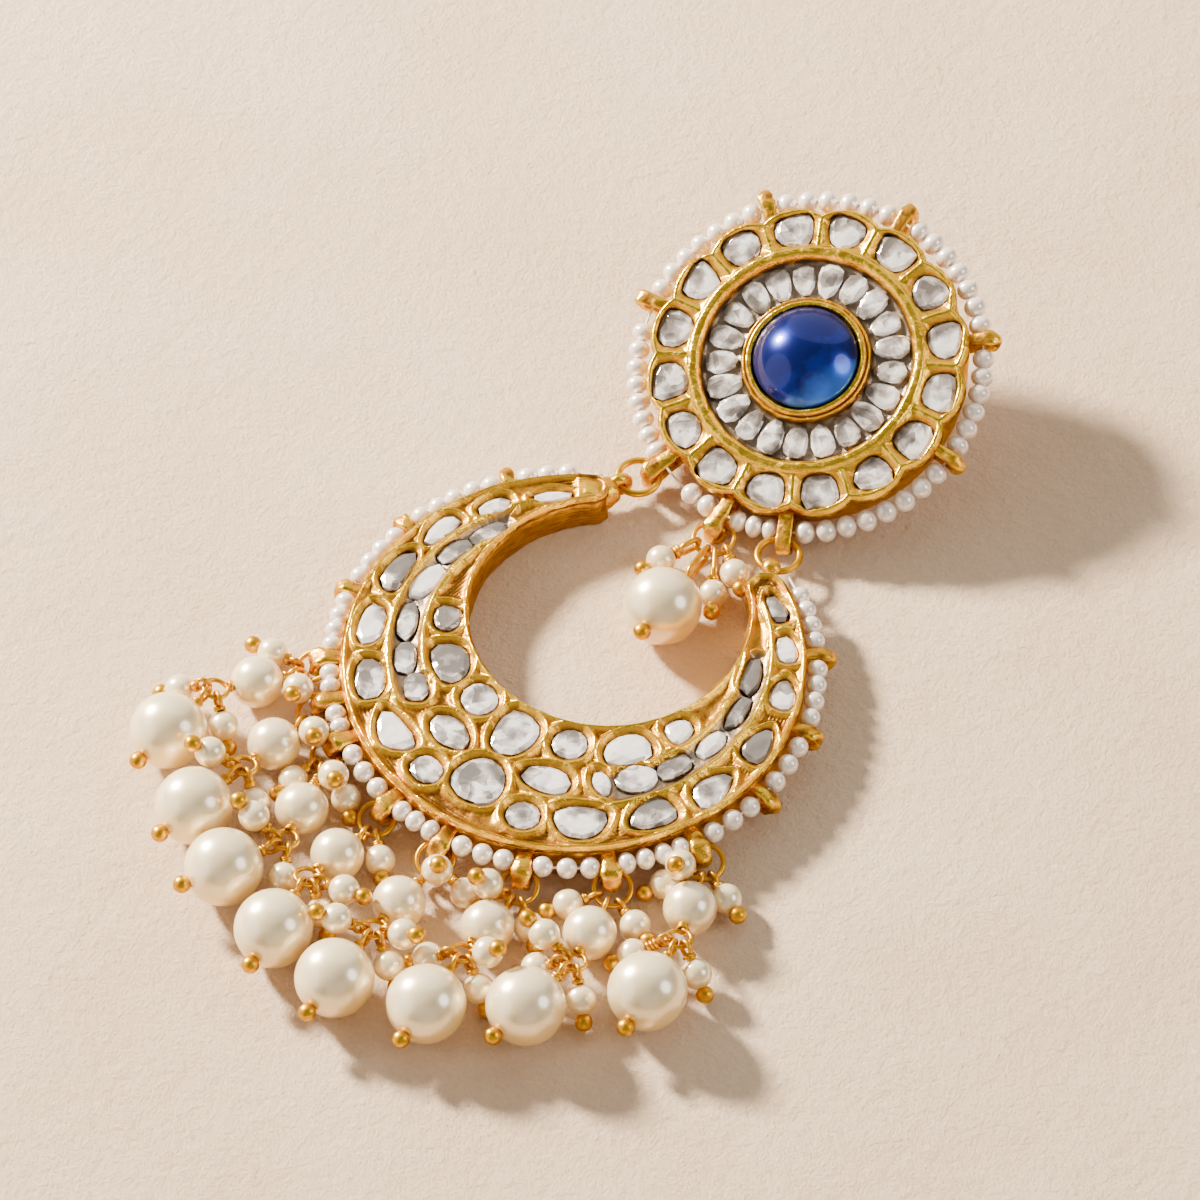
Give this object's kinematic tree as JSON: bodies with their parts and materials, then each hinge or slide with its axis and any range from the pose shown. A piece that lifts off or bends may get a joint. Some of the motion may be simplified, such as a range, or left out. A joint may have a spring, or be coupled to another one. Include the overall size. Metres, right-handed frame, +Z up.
{
  "type": "chandbali earring",
  "caption": "Gold crescent earring with a round stone-set ear disc, link rings and a fringe of wired pearl drops, lying face up.",
  "frame": {"origin": "centre of the bounding box, on the plane the earring lies on", "axes": "+Y from the fringe towards the ear disc, +Z up out of the face, +X to the right seen from above"},
  "size_m": [0.0648, 0.1082, 0.017],
  "materials": {
    "gold": "satin, hand-burnished yellow gold",
    "wire_gold": "polished orange gold wire",
    "pearl": "cream pearl lustre",
    "seed_pearl": "white pearl lustre",
    "clear_stone": "clear flat-cut stone on silver foil",
    "blue_stone": "polished royal blue dome"
  },
  "bodies": {
    "root": {"crescent_setting": "gold", "crescent_outer_stones": "clear_stone", "crescent_middle_stones": "clear_stone", "crescent_inner_stones": "clear_stone", "crescent_pearl_string": "seed_pearl", "disc_setting": "gold", "disc_outer_stones": "clear_stone", "disc_inner_stones": "clear_stone", "disc_pearl_string": "seed_pearl", "blue_cabochon": "blue_stone", "ear_post": "gold", "link_ring_left": "gold", "link_ring_right": "gold", "centre_ring": "wire_gold", "centre_pins": "wire_gold", "centre_pearl": "pearl", "centre_small_pearls": "pearl", "drop_1_ring": "wire_gold", "drop_1_wires": "wire_gold", "drop_1_middle_pearl": "pearl", "drop_1_big_pearl": "pearl", "drop_1_small_pearls": "pearl", "drop_2_ring": "wire_gold", "drop_2_wires": "wire_gold", "drop_2_middle_pearl": "pearl", "drop_2_big_pearl": "pearl", "drop_2_small_pearls": "pearl", "drop_3_ring": "wire_gold", "drop_3_wires": "wire_gold", "drop_3_middle_pearl": "pearl", "drop_3_big_pearl": "pearl", "drop_3_small_pearls": "pearl", "drop_4_ring": "wire_gold", "drop_4_wires": "wire_gold", "drop_4_middle_pearl": "pearl", "drop_4_big_pearl": "pearl", "drop_4_small_pearls": "pearl", "drop_5_ring": "wire_gold", "drop_5_wires": "wire_gold", "drop_5_middle_pearl": "pearl", "drop_5_big_pearl": "pearl", "drop_5_small_pearls": "pearl", "drop_6_ring": "wire_gold", "drop_6_wires": "wire_gold", "drop_6_middle_pearl": "pearl", "drop_6_big_pearl": "pearl", "drop_6_small_pearls": "pearl", "drop_7_ring": "wire_gold", "drop_7_wires": "wire_gold", "drop_7_middle_pearl": "pearl", "drop_7_big_pearl": "pearl", "drop_7_small_pearls": "pearl", "drop_8_ring": "wire_gold", "drop_8_wires": "wire_gold", "drop_8_middle_pearl": "pearl", "drop_8_big_pearl": "pearl", "drop_8_small_pearls": "pearl"}
  },
  "joints": []
}
